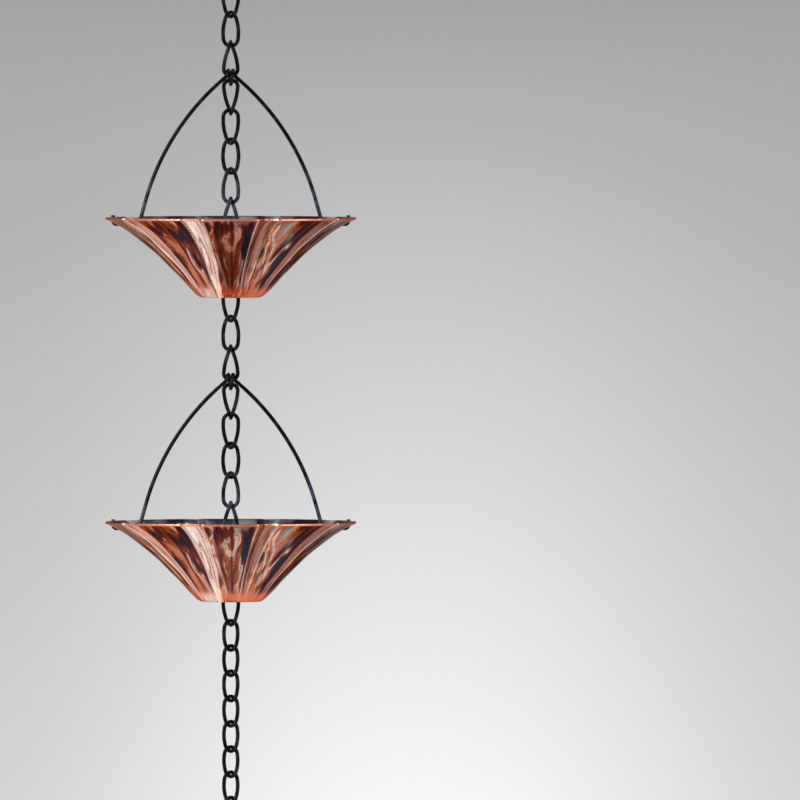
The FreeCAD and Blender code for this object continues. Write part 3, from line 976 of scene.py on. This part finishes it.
def add_camera(scene, stage):
    """A far camera with a long lens, a little above the chain."""
    data = bpy.data.cameras.new("camera")
    data.lens = stage.lens
    data.sensor_width = SENSOR
    data.clip_end = FAR_CLIP
    camera = bpy.data.objects.new("camera", data)
    scene.collection.objects.link(camera)
    away = stage.frame_width * stage.lens / SENSOR
    back = Vector((0.0, -math.cos(stage.tilt), math.sin(stage.tilt)))
    camera.location = Vector((stage.aim_across, 0.0, stage.aim_height)) + back * away
    camera.rotation_euler = (-back).to_track_quat("-Z", "Y").to_euler()
    scene.camera = camera


def add_lamp(scene, name, place, size, power):
    """A soft area lamp aimed at the chain."""
    data = bpy.data.lights.new(name, "AREA")
    data.shape = "RECTANGLE"
    data.size, data.size_y = size
    data.energy = power
    lamp = bpy.data.objects.new(name, data)
    lamp.location = place
    lamp.rotation_euler = (Vector(LAMP_AIM) - Vector(place)).to_track_quat("-Z", "Y").to_euler()
    scene.collection.objects.link(lamp)


def backdrop(scene, stage):
    """A world that shows a grey that pales downwards, and lights rough surfaces evenly.

    Heights and widths are measured in halves of the camera's view; the foot is palest just
    to the right of its middle.
    """
    world = bpy.data.worlds.new("studio")
    scene.world = world
    world.use_nodes = True
    tree = world.node_tree
    shade = Shade(tree)
    direction = shade.add("ShaderNodeTexCoord", output="Generated")
    half_view, level = SENSOR / 2 / stage.lens, -math.sin(stage.tilt)
    rise = shade.part(direction, "Z").even(level - half_view, level + half_view)
    aside = shade.math("ABSOLUTE", shade.part(direction, "X") / half_view - 0.04)
    foot = aside.smooth(0.04, 1.16).blend(stage.sky_foot, stage.sky_side)
    tone = rise.blend(foot, stage.sky_top)
    rays = ("Is Camera Ray", "Is Glossy Ray", "Is Transmission Ray")
    seen = [shade.add("ShaderNodeLightPath", output=ray) for ray in rays]
    shown = shade.math("MAXIMUM", shade.math("MAXIMUM", seen[0], seen[1]), seen[2])
    tree.links.new(shown.blend(AMBIENT, tone).socket, tree.nodes["Background"].inputs["Color"])


def add_floor(scene, stage, height):
    """A pale round floor that fades out towards its edge."""
    rim = round_points(FLOOR_RADIUS, full_turn(96), height)
    mesh = bpy.data.meshes.new("floor")
    mesh.from_pydata(rim, [], [range(len(rim))])
    mesh.update()
    floor = bpy.data.objects.new("floor", mesh)
    scene.collection.objects.link(floor)
    material, shade, shader = new_finish("pale_floor", {"Roughness": 0.9})
    place = shade.place()
    away = shade.add("ShaderNodeVectorMath", {"operation": "LENGTH"}, {0: place}, output="Value")
    faint = tuple(0.97 * tone for tone in stage.floor)
    tone = shade.noise(place, 6.0).blend(stage.floor, faint)
    drive(shader, Base_Color=tone, Alpha=1.0 - away.smooth(*FLOOR_FADE))
    mesh.materials.append(material)


class RAIN_CHAIN_OT_stage(bpy.types.Operator):
    """Sets the camera, the soft light, the backdrop and the floor"""

    bl_idname = "rain_chain.stage"
    bl_label = "Stage"

    def execute(self, context):
        scene = context.scene
        stage = scene.rain_chain_stage
        scene.view_settings.view_transform = "Standard"
        add_camera(scene, stage)
        for name, (place, size, power) in LAMPS.items():
            add_lamp(scene, name, place, size, power)
        backdrop(scene, stage)
        add_floor(scene, stage, CAD_BOX[0].z - stage.floor_drop)
        return {"FINISHED"}


class RAIN_CHAIN_PT_panel(bpy.types.Panel):
    """Lists the steps that dress the chain"""

    bl_idname = "RAIN_CHAIN_PT_panel"
    bl_label = "Rain Chain"
    bl_space_type = "VIEW_3D"
    bl_region_type = "UI"
    bl_category = "Rain Chain"

    def draw(self, context):
        for step in STEPS:
            self.layout.operator(step.bl_idname)


SETTINGS = {
    "rain_chain_cups": CupSettings,
    "rain_chain_wire": WireSettings,
    "rain_chain_drop": DropSettings,
    "rain_chain_stage": StageSettings,
}
STEPS = (
    RAIN_CHAIN_OT_stage,
    RAIN_CHAIN_OT_cups,
    RAIN_CHAIN_OT_links,
    RAIN_CHAIN_OT_bails,
    RAIN_CHAIN_OT_drop,
)
CLASSES = (*SETTINGS.values(), *STEPS, RAIN_CHAIN_PT_panel)


def register():
    for item in CLASSES:
        bpy.utils.register_class(item)
    for name, group in SETTINGS.items():
        setattr(bpy.types.Scene, name, PointerProperty(type=group))


def unregister():
    for name in SETTINGS:
        delattr(bpy.types.Scene, name)
    for item in reversed(CLASSES):
        bpy.utils.unregister_class(item)


def main():
    """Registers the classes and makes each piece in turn."""
    register()
    bpy.ops.rain_chain.stage()
    bpy.ops.rain_chain.cups()
    bpy.ops.rain_chain.links()
    bpy.ops.rain_chain.bails()
    bpy.ops.rain_chain.drop()


if __name__ == "__main__":
    main()
